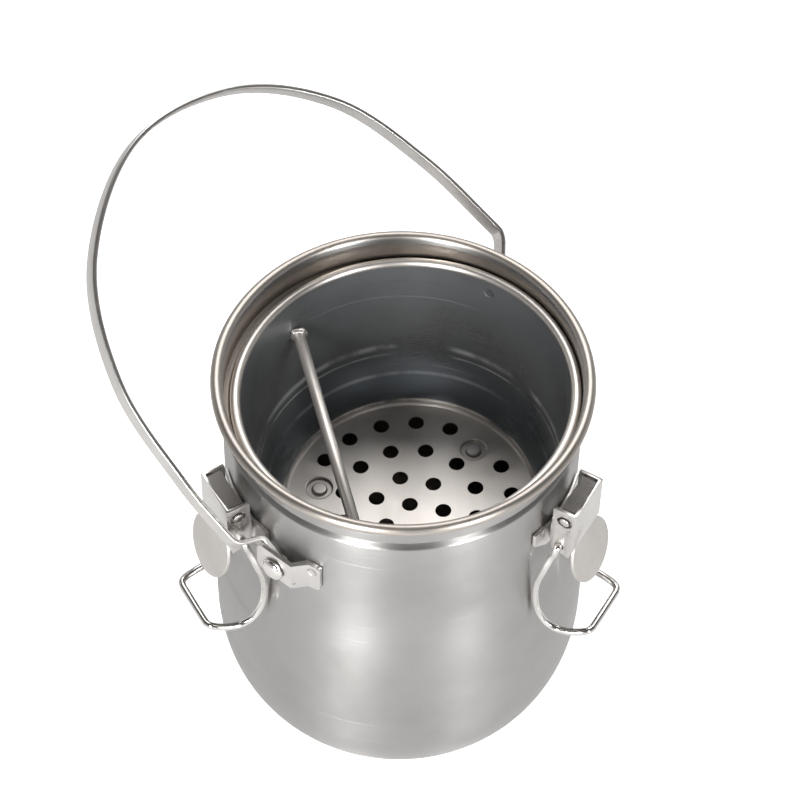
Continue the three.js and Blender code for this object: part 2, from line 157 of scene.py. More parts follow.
def grey(level, warmth=0.0):
    """A colour from its brightness; warmth moves it from blue to brown."""
    return (level * (1 + warmth), level, level * (1 - warmth), 1)


GENERATED, OBJECT = 0, 3
print("warm grey:", [round(part, 2) for part in grey(0.5, 0.1)])

# %% [markdown]
# ## Studio
# Polished steel has no colour of its own: it shows what stands round it. The washer stands on
# white paper under soft light. Above it the room is dim, and that darkens the inside of the cup;
# the cup's wall also has painted shade in its colour. The paper and the far background are white
# to the camera because of their own colour, through the Is Camera Ray output, and never because
# more light falls on the washer. Near the washer the paper still shows its shadow; away from it
# the paper turns plain white.

# %% Make the room and the paper
ROOM_DIM, ROOM_BRIGHT = 0.09, 0.78
HORIZON, ZENITH = -0.1, 0.75
PAPER_HALF, PAPER_SHADE, PAPER_GLOW = 3.0, 0.88, 0.65
SHADOW_END, ALL_WHITE = 0.3, 0.9


def make_room():
    world = bpy.data.worlds.new("studio")
    bpy.context.scene.world = world
    world.use_nodes = True
    graph = Graph(world.node_tree)
    direction = graph.add("ShaderNodeTexCoord", output=GENERATED)
    height = graph.add("ShaderNodeSeparateXYZ", sockets={0: direction}, output=2)
    dim = graph.mix(height.step(HORIZON, ZENITH), grey(ROOM_BRIGHT), grey(ROOM_DIM, 0.04))
    rays = graph.add("ShaderNodeLightPath")
    shown = graph.mix(rays, dim, grey(1))
    background = graph.add("ShaderNodeBackground", sockets={0: shown, 1: 1.0})
    graph.add("ShaderNodeOutputWorld", sockets={0: background})


def make_paper():
    mesh = bpy.data.meshes.new("paper")
    half = PAPER_HALF
    corners = [(-half, -half, 0), (half, -half, 0), (half, half, 0), (-half, half, 0)]
    mesh.from_pydata(corners, [], [(0, 1, 2, 3)])
    paper = new_object("paper", mesh)
    material = bpy.data.materials.new("white_paper")
    material.use_nodes = True
    graph = Graph(material.node_tree)
    matte = graph.add("ShaderNodeBsdfDiffuse", sockets={0: grey(PAPER_SHADE)})
    glow = graph.add("ShaderNodeEmission", sockets={0: grey(1), 1: PAPER_GLOW})
    lit = graph.add("ShaderNodeAddShader", sockets={0: matte, 1: glow})
    white = graph.add("ShaderNodeEmission", sockets={0: grey(1), 1: 1.0})
    place = graph.add("ShaderNodeTexCoord", output=OBJECT)
    away = graph.add("ShaderNodeVectorMath", {"operation": "LENGTH"}, {0: place}, 1)
    far = away.step(SHADOW_END, ALL_WHITE)
    seen = graph.add("ShaderNodeMixShader", sockets={0: far, 1: lit, 2: white})
    rays = graph.add("ShaderNodeLightPath")
    shown = graph.add("ShaderNodeMixShader", sockets={0: rays, 1: matte, 2: seen})
    graph.add("ShaderNodeOutputMaterial", sockets={0: shown})
    mesh.materials.append(material)


make_room()
make_paper()
print("paper is", 2 * PAPER_HALF, "m wide")

# %% [markdown]
# Soft boxes are large, so that the steel shows broad bands and not dots. A band on the wall of
# a round can stands halfway between the lens and the box, so each box is placed by the band
# that it has to make.

# %% Hang the soft boxes
SOFT_BOXES = {
    "left_box": {"azimuth": 248, "height": 24, "size": (0.17, 0.5), "watts": 8.8},
    "front_box": {"azimuth": 305, "height": 24, "size": (0.16, 0.5), "watts": 5.2},
    "top_box": {"azimuth": 85, "height": 52, "size": (0.7, 0.5), "watts": 4.0},
}
BOX_DISTANCE, BOX_AIM = 0.95, 80


def make_soft_box(name, azimuth, height, size, watts):
    data = bpy.data.lights.new(name, "AREA")
    data.shape = "RECTANGLE"
    data.size, data.size_y = size
    data.energy = watts
    lamp = new_object(name, data)
    turn = Matrix.Rotation(math.radians(azimuth), 4, "Z")
    lift = Matrix.Rotation(-math.radians(height), 4, "Y")
    place = turn @ lift @ Vector((BOX_DISTANCE, 0, 0))
    lamp.location = place + Vector((0, 0, BOX_AIM * MM))
    lamp.rotation_euler = place.to_track_quat("Z", "Y").to_euler()


for name, box in SOFT_BOXES.items():
    make_soft_box(name, **box)
print("soft boxes:", len(SOFT_BOXES))

# %% [markdown]
# ## Steel
# All of the washer is stainless steel, and only the finish changes from piece to piece. The
# can is brushed round its axis, which smears every reflection up and down the wall. Its inside
# and the rolled rims are smoother and browner. The strips keep the dull skin of rolled sheet,
# the wires are polished, and the wiping bar is worn.
#
# The cup's inside wall has been wet for years and is a little less metallic. Its colour is
# painted darker than the floor's, as shade, and darker still towards the floor, also painted
# shade. Paler rings along its creases and old water lines are painted highlights. Both are
# measured along the cup's own axis, because the cup sits a little askew in the can.

# %% Marks on the steel, painted shade and painted highlight rings
CUP_PLACE, CUP_LEAN = (0.7, 0, 118.58), math.radians(-2.2)
MARK_CORE, MARK_COLOUR = 0.45, grey(0.05, 0.2)
RING_GAP, RING_WHOLE = 0.36, 0.56


def add_spots(graph, place, colour, height, spots, depth):
    """Small pressed or welded marks: (centre, radius, sink in millimetres, darkness)."""
    for centre, radius, sink, dark in spots:
        sockets = {0: place, 1: [c * MM for c in centre]}
        away = graph.add("ShaderNodeVectorMath", {"operation": "DISTANCE"}, sockets, 1)
        mark = 1 - away.step(MARK_CORE * radius * MM, radius * MM)
        colour = graph.mix(mark * dark, colour, MARK_COLOUR)
        height = height - mark * (sink * MM / depth)
    return colour, height


def cup_height(graph, place):
    """How far a point lies above the middle of the cup's rim, along the cup's leaning axis."""
    axis = Matrix.Rotation(CUP_LEAN, 3, "Y") @ Vector((0, 0, 1))
    along = graph.add("ShaderNodeVectorMath", {"operation": "DOT_PRODUCT"}, {0: place, 1: axis}, 1)
    return along - axis.dot(Vector(CUP_PLACE)) * MM


def add_highlight_rings(graph, height, marks, colour, rings):
    """Painted highlight rings round the cup: (height, half width in millimetres, strength, colour)."""
    for middle, half, strength, tint in rings:
        climb = height.step((middle - half) * MM, middle * MM)
        fall = 1 - height.step(middle * MM, (middle + half) * MM)
        broken = marks.step(RING_GAP, RING_WHOLE)
        colour = graph.mix(climb * fall * broken * strength, colour, tint)
    return colour


print("cup leans", round(math.degrees(CUP_LEAN), 1), "degrees")

# %% [markdown]
# One function makes every finish: fine lines that are stretched along the brushing, a slow
# cloud for handling marks, and rare deeper scratches. The lines and scratches also feed a
# shallow bump. A noise value of one half means no change, so it is taken off first.

# %% One function for every finish
CLOUD_SCALE, CLOUD_DARK, HANDLED = 55.0, 0.2, grey(0.2, 0.1)
LINE_ROUGH, SCRATCH_ROUGH, SCRATCH_DEPTH = 0.12, 0.1, 1.5
SCRATCH_SPREAD, SCRATCH_START, SCRATCH_FULL = 0.22, 0.68, 0.76


def make_steel(name, tint, roughness, grain, depth, cloud=0.1, anisotropy=0.0, metallic=1.0,
               low=None, rings=(), spots=()):
    """grain is the number of brush lines for each metre along X, Y and Z."""
    material = bpy.data.materials.new(name)
    material.use_nodes = True
    graph = Graph(material.node_tree)
    place = graph.add("ShaderNodeTexCoord", output=OBJECT)
    stretched = graph.add("ShaderNodeMapping", sockets={0: place, 3: grain})
    lines = graph.noise(stretched, 1.0, 3.0, 0.6)
    marks = graph.noise(place, CLOUD_SCALE, 4.0, 0.55)
    spread = [lines_per_metre * SCRATCH_SPREAD for lines_per_metre in grain]
    sparse = graph.add("ShaderNodeMapping", sockets={0: place, 3: spread})
    scratches = graph.noise(sparse, 1.0, 1.0)
    scratch = scratches.step(SCRATCH_START, SCRATCH_FULL)
    rough = roughness + (marks - 0.5) * cloud + (lines - 0.5) * LINE_ROUGH + scratch * SCRATCH_ROUGH
    clean = tint
    # Painted shade: the cup wall's colour turns darker towards the floor.
    if low:
        low_shade_tint, bottom, top = low
        level = cup_height(graph, place)
        clean = graph.mix(level.step(bottom * MM, top * MM), low_shade_tint, tint)
        # Painted highlights: pale rings round the cup wall.
        clean = add_highlight_rings(graph, level, marks, clean, rings)
    shade = marks.step(0.25, 0.7) * CLOUD_DARK + (1 - CLOUD_DARK)
    colour = graph.mix(1 - shade, clean, HANDLED)
    height = lines - scratch * SCRATCH_DEPTH
    colour, height = add_spots(graph, place, colour, height, spots, depth)
    sockets = {"Strength": 1.0, "Distance": depth, "Height": height}
    bump = graph.add("ShaderNodeBump", sockets=sockets)
    shader = graph.add("ShaderNodeBsdfPrincipled", sockets={
        "Base Color": colour,
        "Metallic": metallic,
        "Roughness": rough,
        "Normal": bump,
        "Anisotropic": anisotropy,
        "Anisotropic Rotation": 0.25,
    })
    graph.add("ShaderNodeOutputMaterial", sockets={0: shader})
    return material


print("scratches start at a noise of", SCRATCH_START)

# %% [markdown]
# The finishes differ in tint, roughness, grain and bump depth in metres. Marks are given where
# they are on the washer: two spot welds on the cup's wall, a dimple and a dot on the near lug.

# %% Make the finishes
AROUND, EVERY_WAY = (35, 35, 5200), (1400, 1400, 1400)
CUP_MARKS = [((23.2, 37.8, 115.4), 1.9, 0.25, 0.25), ((44.4, 5.3, 110.4), 1.8, 0.25, 0.2)]
LUG_MARKS = [((-22.9, -44.3, 97.5), 1.7, 0.4, 0.0), ((-27.6, -44.7, 92.2), 0.6, 0.2, 0.8)]
# Painted shade at the bottom of the cup wall: its darker tint and the heights where it starts and ends.
WALL_LOW_SHADE = (grey(0.17, -0.1), -46.0, -20.0)
# Painted highlights: pale rings along the cup wall's creases and old water lines.
WALL_HIGHLIGHT_RINGS = [
    (-31.6, 1.7, 0.85, grey(0.95, -0.02)),
    (-34.6, 0.5, 0.75, grey(0.9)),
    (-40.5, 0.8, 0.45, grey(0.7, -0.02)),
    (-48.9, 0.9, 1.0, grey(0.95, 0.05)),
]
spun_steel = make_steel("spun_steel", grey(0.44, 0.016), 0.36, AROUND, 0.00002, 0.12, 0.85)
inner_steel = make_steel("inner_steel", grey(0.42, 0.1), 0.34, AROUND, 0.00001, 0.14, 0.4)
floor_steel = make_steel("floor_steel", grey(0.6, 0.06), 0.4, AROUND, 0.00001, 0.14, 0.3)
rim_steel = make_steel("rim_steel", grey(0.42, 0.09), 0.36, AROUND, 0.000006, 0.12, 0.5)
lip_steel = make_steel("lip_steel", grey(0.6, 0.06), 0.38, AROUND, 0.000006, 0.12, 0.5)
# The cup wall's tint is darker than the floor's: a copy of the steel with painted shade.
shaded_wall_steel = make_steel("shaded_wall_steel", grey(0.3, -0.04), 0.3, AROUND, 0.00001, 0.14, 0.4, 0.8,
                        low=WALL_LOW_SHADE, rings=WALL_HIGHLIGHT_RINGS, spots=CUP_MARKS)
sheet_steel = make_steel("sheet_steel", grey(0.66, 0.03), 0.3, EVERY_WAY, 0.000008)
lug_steel = make_steel("lug_steel", grey(0.66, 0.03), 0.3, EVERY_WAY, 0.000008, spots=LUG_MARKS)
disc_steel = make_steel("disc_steel", grey(0.6, 0.04), 0.5, EVERY_WAY, 0.000012)
wire_steel = make_steel("wire_steel", grey(0.72, 0.03), 0.16, EVERY_WAY, 0.000004, 0.08)
bar_steel = make_steel("bar_steel", grey(0.74, 0.06), 0.42, EVERY_WAY, 0.000006, metallic=0.8)
print("finishes:", [m.name for m in bpy.data.materials if m.name.endswith("steel")])

# %% [markdown]
# ## Turned pieces
# The can and the cup are bodies of revolution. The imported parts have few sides, because they
# have to be light. Here the same outlines are turned again in fine steps, from the same sizes,
# so that the rolled rims are truly round. A mesh built from rings of points gives full
# control of where the rings lie, which a Screw modifier doesn't.


# %% Turn an outline into a mesh
SHARP = 40


def to_mesh(shape, name, scale=MM):
    """A shape in millimetres becomes a mesh in metres."""
    shape.transform(Matrix.Scale(scale, 4))
    data = bpy.data.meshes.new(name)
    shape.to_mesh(data)
    shape.free()
    return data


def arc(centre_r, centre_z, radius_r, radius_z, start, stop, steps):
    angles = [start + (stop - start) * i / steps for i in range(steps + 1)]
    return [(centre_r + radius_r * math.cos(a), centre_z + radius_z * math.sin(a)) for a in angles]


def inset(outline, distance):
    """The outline moved to the left of its direction by a sheet's thickness."""
    moved = []
    for i, (r, z) in enumerate(outline):
        before = outline[max(i - 1, 0)]
        after = outline[min(i + 1, len(outline) - 1)]
        dr, dz = after[0] - before[0], after[1] - before[1]
        length = math.hypot(dr, dz)
        moved.append((0 if r == 0 else r - dz / length * distance, z + dr / length * distance))
    return moved


def turn_mesh(outline, segments, centre=(0, 0, 0)):
    """A mesh of an outline of (radius, height) in millimetres; radius 0 closes at a pole."""
    mesh = bmesh.new()
    rings = []
    for r, z in outline:
        if r == 0:
            rings.append([mesh.verts.new((0, 0, z))])
            continue
        turns = [2 * math.pi * i / segments for i in range(segments)]
        rings.append([mesh.verts.new((r * math.cos(a), r * math.sin(a), z)) for a in turns])
    for low, high in zip(rings, rings[1:] + rings[:1]):
        if len(low) == 1 and len(high) == 1:
            continue
        for i in range(segments):
            j = (i + 1) % segments
            corners = [low[i % len(low)], low[j % len(low)], high[j % len(high)], high[i % len(high)]]
            mesh.faces.new(list(dict.fromkeys(corners)))
    bmesh.ops.recalc_face_normals(mesh, faces=mesh.faces)
    mesh.transform(Matrix.Translation(centre))
    return to_mesh(mesh, "turned")


def cut_away(mesh, tool_mesh):
    """The mesh with the tool's shape taken out of it, as a plain mesh."""
    thing, tool = new_object("thing", mesh), new_object("tool", tool_mesh)
    cut = thing.modifiers.new("holes", "BOOLEAN")
    cut.operation, cut.solver, cut.object = "DIFFERENCE", "EXACT", tool
    graph = bpy.context.evaluated_depsgraph_get()
    result = bpy.data.meshes.new_from_object(thing.evaluated_get(graph))
    bpy.data.objects.remove(thing)
    bpy.data.objects.remove(tool)
    return result


def join_meshes(meshes):
    joined = bmesh.new()
    for mesh in meshes:
        joined.from_mesh(mesh)
    return to_mesh(joined, "joined", 1)


print("sizes are scaled by", MM)

# %% [markdown]
# A finished piece stands for a imported part: it rides on the same body, replaces the part in
# view, and gets its steel. Its edges stay sharp only above an angle.


# %% Add a finished piece
def add_piece(name, mesh, material, body, node, sharp_degrees=SHARP):
    mesh.materials.clear()
    mesh.materials.append(material)
    mesh.shade_smooth()
    mesh.set_sharp_from_angle(angle=math.radians(sharp_degrees))
    piece = new_object(name, mesh)
    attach(piece, body)
    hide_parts(node)
    print(name, "has", len(mesh.polygons), "faces")
    return piece


# %% [markdown]
# ### The can
# It is one sheet: a flat base, a generous corner, a straight belly, and a neck that the belly
# flares into. Under the rolled rim a groove is pressed in. Outside it is a shadow line, and
# inside it is the ledge that the cup hangs on.

# %% Turn the can
RIM_Z = 124.8
CAN = {"bead_centre": 49.45, "bead": 1.55, "neck": 48.3, "belly": 52.3, "base": 35.8}
CORNER_HEIGHT, BELLY_TOP, NECK_BOTTOM = 31, 40.8, 88.8
GROOVE_Z, GROOVE_DEPTH, GROOVE_HALF = RIM_Z - 9.2, 2, 1.8
BASE_RINGS, NECK_RINGS = (0, 12, 30), (98, 108)
SHEET = 0.5
CORNER_STEPS, FLARE_STEPS, GROOVE_STEPS, BEAD_STEPS, CAN_SIDES = 36, 24, 24, 28, 224


def can_radius(z):
    u = min(max((z - BELLY_TOP) / (NECK_BOTTOM - BELLY_TOP), 0), 1)
    return CAN["neck"] + (CAN["belly"] - CAN["neck"]) * (1 + math.cos(math.pi * u)) / 2


def can_outline():
    width = CAN["belly"] - CAN["base"]
    corner = arc(CAN["base"], CORNER_HEIGHT, width, CORNER_HEIGHT, -math.pi / 2, 0, CORNER_STEPS)
    climb = (NECK_BOTTOM - BELLY_TOP) / FLARE_STEPS
    heights = [BELLY_TOP + climb * i for i in range(FLARE_STEPS + 1)]
    flare = [(can_radius(z), z) for z in heights]
    plain = [(CAN["neck"], z) for z in NECK_RINGS]
    groove = []
    for i in range(GROOVE_STEPS + 1):
        u = 2 * i / GROOVE_STEPS - 1
        depth = GROOVE_DEPTH * (1 + math.cos(math.pi * u)) / 2
        groove.append((CAN["neck"] - depth, GROOVE_Z + GROOVE_HALF * u))
    return [(r, 0) for r in BASE_RINGS] + corner + flare + plain + groove


def can_mesh():
    outside = can_outline()
    start = math.pi + math.acos((CAN["bead_centre"] - CAN["neck"]) / CAN["bead"])
    bead = arc(CAN["bead_centre"], RIM_Z, CAN["bead"], CAN["bead"], start, 3 * math.pi, BEAD_STEPS)
    top = [(CAN["neck"] - SHEET, RIM_Z - CAN["bead"] / 2)]
    inside = inset(outside, SHEET)[::-1]
    return turn_mesh(outside + bead + top + inside, CAN_SIDES)


def paint_faces(piece, material, chosen):
    """One more finish, for the faces that the test picks by their middle and normal."""
    piece.data.materials.append(material)
    last = len(piece.data.materials) - 1
    for face in piece.data.polygons:
        if chosen(face.center / MM, face.normal):
            face.material_index = last


def faces_inwards(middle, normal):
    return middle.z < RIM_Z - CAN["bead"] / 2 and middle.x * normal.x + middle.y * normal.y < 0


def on_can_rim(middle, normal):
    return middle.z > RIM_Z - CAN["bead"] and math.hypot(middle.x, middle.y) > CAN["neck"] - 0.1


can = add_piece("spun_can", can_mesh(), spun_steel, "can", "can_body")
paint_faces(can, inner_steel, faces_inwards)
paint_faces(can, rim_steel, on_can_rim)

# %% [markdown]
# ### The strainer cup
# The cup is turned in the same way. Its floor is drilled in rings of 6, 12 and 18 places round
# one hole in the middle. Geometry Nodes makes the drills: a circle of points for each ring, a
# short cylinder on each point, and no cylinder where a pressed foot takes the place. A Boolean
# modifier then cuts all the holes at once, and new_from_object keeps the result.

# %% Turn the cup
CUP = {"rim": 46.8, "bead": 1.4, "mouth": 44.0, "throat": 41.8, "well": 35.7, "floor": 34.8}
WALL_END, SHOULDER_Z, WELL_Z, FLOOR_Z = -31.4, -39.0, -49.2, -50.8
FOOT_TURN, FOOT_CIRCLE, FOOT_DROP = 47.3, 26.2, 0.9
SHOULDER_HANDLE, WALL_STEPS, CUP_BEAD_STEPS, CUP_SIDES = (0.4, 6.1), 22, 24, 192


def bezier(points, steps):
    a, b, c, d = [Vector(p) for p in points]
    shares = [i / steps for i in range(steps + 1)]
    ends = [a * (1 - t) ** 3 + d * t**3 for t in shares]
    middle = [3 * t * (1 - t) * (b * (1 - t) + c * t) for t in shares]
    return [tuple(end + mid) for end, mid in zip(ends, middle)]


def cup_inside():
    drop = FLOOR_Z - WELL_Z
    corner = arc(CUP["floor"], WELL_Z, CUP["well"] - CUP["floor"], -drop, -math.pi / 2, 0, 10)
    out, up = SHOULDER_HANDLE
    shoulder = [(CUP["well"], WELL_Z), (CUP["well"] + out, WELL_Z + up),
                (CUP["throat"], SHOULDER_Z + 0.1), (CUP["throat"], WALL_END)]
    wall = bezier(shoulder, WALL_STEPS)
    return [(0, FLOOR_Z), (20, FLOOR_Z)] + corner[:-1] + wall + [(CUP["mouth"], 0)]


def cup_shell():
    inside = cup_inside()
    centre = CUP["rim"] - CUP["bead"]
    start = math.pi + math.acos((centre - CUP["mouth"] - SHEET) / CUP["bead"])
    bead = arc(centre, 0, CUP["bead"], CUP["bead"], start, 3 * math.pi, CUP_BEAD_STEPS)
    outside = inset(inside, -SHEET)[:-1]
    return turn_mesh(outside + bead + inside[:-1][::-1], CUP_SIDES)


# %% Build the drill pattern with Geometry Nodes
def node_tree(name, sizes):
    """An empty geometry tree with one named number for each size."""
    tree = bpy.data.node_groups.new(name, "GeometryNodeTree")
    tree.interface.new_socket(name="Geometry", in_out="INPUT", socket_type="NodeSocketGeometry")
    tree.interface.new_socket(name="Geometry", in_out="OUTPUT", socket_type="NodeSocketGeometry")
    for size in sizes:
        tree.interface.new_socket(name=size, in_out="INPUT", socket_type="NodeSocketFloat")
    graph = Graph(tree)
    start = tree.nodes.new("NodeGroupInput")
    inputs = {socket.name: Signal(graph, socket) for socket in start.outputs if socket.name}
    return tree, graph, inputs


def finish_tree(graph, geometry, material):
    real = graph.add("GeometryNodeRealizeInstances", sockets={0: geometry})
    painted = graph.add("GeometryNodeSetMaterial", sockets={0: real, "Material": material})
    graph.add("NodeGroupOutput", sockets={0: painted})


def run_tree(tree, source, values):
    """The tree's result on a source object as a plain mesh; the source is removed."""
    modifier = source.modifiers.new("shape", "NODES")
    modifier.node_group = tree
    for item in tree.interface.items_tree:
        if item.in_out == "INPUT" and item.name in values:
            modifier[item.identifier] = float(values[item.name])
    graph = bpy.context.evaluated_depsgraph_get()
    mesh = bpy.data.meshes.new_from_object(source.evaluated_get(graph))
    bpy.data.objects.remove(source)
    return mesh


DRILL_SIZES = {
    "Pitch": 9.6 * MM,
    "Hole radius": 2.25 * MM,
    "Depth": 3 * MM,
    "Floor": (FLOOR_Z - SHEET / 2) * MM,
    "Turn": math.radians(FOOT_TURN),
}
RINGS, HOLES_IN_FIRST, DRILL_SIDES = 3, 6, 40


def drill_tree(material):
    tree, graph, size = node_tree("strainer_drills", DRILL_SIZES)
    circles = [graph.add("GeometryNodeMeshLine", {"mode": "OFFSET"}, {"Count": 1})]
    for ring in range(1, RINGS + 1):
        sockets = {"Vertices": HOLES_IN_FIRST * ring, "Radius": size["Pitch"] * ring}
        circle = graph.add("GeometryNodeMeshCircle", sockets=sockets)
        if ring == RINGS:
            index = graph.add("GeometryNodeInputIndex")
            remainder = index.math("FLOORED_MODULO", index, float(HOLES_IN_FIRST))
            on_foot = remainder.math("LESS_THAN", remainder, 0.5)
            circle = graph.add("GeometryNodeDeleteGeometry", sockets={0: circle, 1: on_foot})
        circles.append(circle)
    joined = graph.tree.nodes.new("GeometryNodeJoinGeometry")
    for circle in circles:
        graph.tree.links.new(circle.socket, joined.inputs[0])
    spin = graph.add("ShaderNodeCombineXYZ", sockets={2: size["Turn"]})
    place = graph.add("ShaderNodeCombineXYZ", sockets={2: size["Floor"]})
    points = graph.add("GeometryNodeTransform", sockets={
        0: Signal(graph, joined.outputs[0]), "Translation": place, "Rotation": spin})
    drill = graph.add("GeometryNodeMeshCylinder", sockets={
        "Vertices": DRILL_SIDES, "Radius": size["Hole radius"], "Depth": size["Depth"]})
    drills = graph.add("GeometryNodeInstanceOnPoints", sockets={0: points, "Instance": drill})
    finish_tree(graph, drills, material)
    return tree


empty = new_object("drills", bpy.data.meshes.new("drills"))
drills = run_tree(drill_tree(floor_steel), empty, DRILL_SIZES)
print("drill faces:", len(drills.polygons))

# %% [markdown]
# The three feet are pressed into the same sheet. Seen from above, each one is a small round
# button in a groove. They are turned like the rest and sunk a little into the floor, where a
# round hole has been cut for them, so that the join shows as a fine ring.

# %% Cut the holes and press the feet
FOOT_BUTTON, FOOT_GROOVE, FOOT_SPARE, FOOT_SIDES = 2.1, 3.9, 0.1, 40
BUTTON_EDGE, BUTTON_FALL, LIP_WIDE, LIP_FALL, WELL_HALF = 0.5, 0.35, 0.45, 0.42, 3


def foot_places():
    turns = [math.radians(FOOT_TURN + 120 * i) for i in range(3)]
    return [(FOOT_CIRCLE * math.cos(a), FOOT_CIRCLE * math.sin(a), FLOOR_Z) for a in turns]


def foot_outline():
    """The pressed shape from its middle outwards, then back below the sheet."""
    flat, reach, under = FOOT_BUTTON - BUTTON_EDGE, FOOT_GROOVE + FOOT_SPARE, -SHEET - FOOT_DROP
    top = [(0, 0.05), (flat, 0.0)]
    top += arc(flat, -BUTTON_FALL, BUTTON_EDGE, BUTTON_FALL, math.pi / 2, 0, 4)
    floor = [(FOOT_BUTTON + 0.25, -FOOT_DROP), (FOOT_GROOVE - 0.35, -FOOT_DROP)]
    lip = arc(reach, -LIP_FALL, LIP_WIDE, LIP_FALL, math.pi, math.pi / 2, 5)
    return top + floor + lip + [(reach, -SHEET), (FOOT_GROOVE - 0.2, under), (0, under)]


def seat_cup(mesh):
    """The cup is made upright round its rim's middle, and it sits a little askew in the can."""
    place = Matrix.Translation(Vector(CUP_PLACE) * MM)
    mesh.transform(place @ Matrix.Rotation(CUP_LEAN, 4, "Y"))
    return mesh


def cup_mesh():
    reach = FOOT_GROOVE + FOOT_SPARE
    well = [(0, -WELL_HALF), (reach, -WELL_HALF), (reach, WELL_HALF), (0, WELL_HALF)]
    wells = [turn_mesh(well, FOOT_SIDES, place) for place in foot_places()]
    drilled = cut_away(cup_shell(), join_meshes([drills] + wells))
    feet = [turn_mesh(foot_outline(), FOOT_SIDES, place) for place in foot_places()]
    return seat_cup(join_meshes([drilled] + feet))


def on_cup_wall(middle, normal):
    """The inside wall down to the floor, measured along the leaning cup's own axis."""
    if middle.x * normal.x + middle.y * normal.y > 0:
        return False
    depth = CUP_PLACE[2] - (middle.z + (middle.x - CUP_PLACE[0]) * math.sin(CUP_LEAN))
    reach = math.hypot(middle.x - CUP_PLACE[0] + depth * math.sin(CUP_LEAN), middle.y)
    return 0.4 < depth < -FLOOR_Z - 1.2 and reach < CUP["mouth"] + SHEET / 2


def on_cup_lip(middle, normal):
    reach = math.hypot(middle.x - CUP_PLACE[0], middle.y)
    return middle.z > CUP_PLACE[2] - 4 and reach > CUP["mouth"] and not on_cup_wall(middle, normal)


cup = add_piece("spun_strainer_cup", cup_mesh(), floor_steel, "cup", "strainer_cup", 35)
# The inside wall gets the darker copy of the steel, which is painted shade.
paint_faces(cup, shaded_wall_steel, on_cup_wall)
paint_faces(cup, lip_steel, on_cup_lip)

# %% [markdown]
# ### The wiping bar
# A polished rod is welded across the cup. The welds are what tell a rod from a drawn line: a
# puddle of metal swells round each end. A ball of rings is moved by a sum of sines, which
# gives an uneven puddle that is the same on every run.

# %% Weld the bar in
BAR_RADIUS, BAR_DROP, BAR_OFFSET, BAR_TURN = 1.6, 11, 21.65, math.radians(14.9)
BAR_WALL = CUP["mouth"] - (CUP["mouth"] - CUP["throat"]) * BAR_DROP / -WALL_END
BAR_HALF = math.sqrt(BAR_WALL**2 - BAR_OFFSET**2) - 0.35
PUDDLE_SIZE, PUDDLE_SINK, PUDDLE_FLAT = 2.25, 1.3, 0.62


def weld_puddle(place, out, size):
    mesh = bmesh.new()
    bmesh.ops.create_uvsphere(mesh, u_segments=28, v_segments=16, radius=1)
    for vert in mesh.verts:
        x, y, z = vert.co
        slow = 0.1 * math.sin(5 * x + 2.1 * out) * math.cos(4 * z)
        quick = 0.07 * math.sin(9 * y + 3 * x)
        ball = Vector((x * size, y * size * PUDDLE_FLAT, z * size))
        vert.co = ball * (1 + slow + quick) + Vector(place)
    return to_mesh(mesh, "puddle")


def bar_mesh():
    rim = [(0, -BAR_HALF), (BAR_RADIUS - 0.2, -BAR_HALF), (BAR_RADIUS, -BAR_HALF + 0.2)]
    rod = turn_mesh(rim + [(r, -z) for r, z in rim[::-1]], 40)
    rod.transform(Matrix.Rotation(math.pi / 2, 4, "X"))
    reach = BAR_HALF - PUDDLE_SINK
    ends = [weld_puddle((0, side * reach, 0), side, PUDDLE_SIZE) for side in (-1, 1)]
    bar = join_meshes([rod] + ends)
    place = Vector((0, 0, -BAR_DROP)) * MM
    turn = Matrix.Rotation(BAR_TURN, 4, "Z") @ Matrix.Translation((-BAR_OFFSET * MM, 0, 0))
    bar.transform(Matrix.Translation(place) @ turn)
    return seat_cup(bar)


add_piece("welded_wiping_bar", bar_mesh(), bar_steel, "cup", "wiping_bar", 60)

# %% [markdown]
# ### The bail
# The bail is one strip, bent flat-wise. Its middle line is a smooth curve through a few given
# points, with an elbow at each end where it steps in to its lug. The strip's section, a flat bar
# with rounded edges, is carried along the line. Its edges catch light, so they get four steps of
# rounding.

# %% Bend the strip
RIVET_TURN, RIVET_DROP, BAIL_LEAN = math.radians(231), 30.5, math.radians(55)
BAIL_Z = RIM_Z - RIVET_DROP
BAIL_WIDTH, BAIL_THICK, BAIL_EDGE, BAIL_HOLE = 5.1, 1.3, 0.4, 3.6
BAIL_NEAR, BAIL_FAR, BAIL_HEIGHT, BAIL_FOOT = 58.3, 67.1, 109.0, 50.25
BAIL_TAIL, BAIL_STEP, NEAR_ELBOW, FAR_ELBOW = 4.6, 8.3, 11.6, 24.2


def smooth_line(points, steps):
    """A Catmull-Rom curve through points of the strip's plane."""
    ends = [points[0] * 2 - points[1]] + points + [points[-1] * 2 - points[-2]]
    line = []
    for a, b, c, d in zip(ends, ends[1:], ends[2:], ends[3:]):
        for i in range(steps):
            t = i / steps
            line.append(0.5 * (2 * b + (c - a) * t + (2 * a - 5 * b + 4 * c - d) * t * t
                               + (3 * b - a - 3 * c + d) * t**3))
    return line + [points[-1]]


def round_corner(before, corner, after, reach, steps=6):
    """Points of a rounded bend that replaces a sharp one."""
    a = corner + (before - corner).normalized() * reach
    b = corner + (after - corner).normalized() * reach
    shares = [i / steps for i in range(steps + 1)]
    return [a * (1 - t) ** 2 + 2 * corner * t * (1 - t) + b * t * t for t in shares]


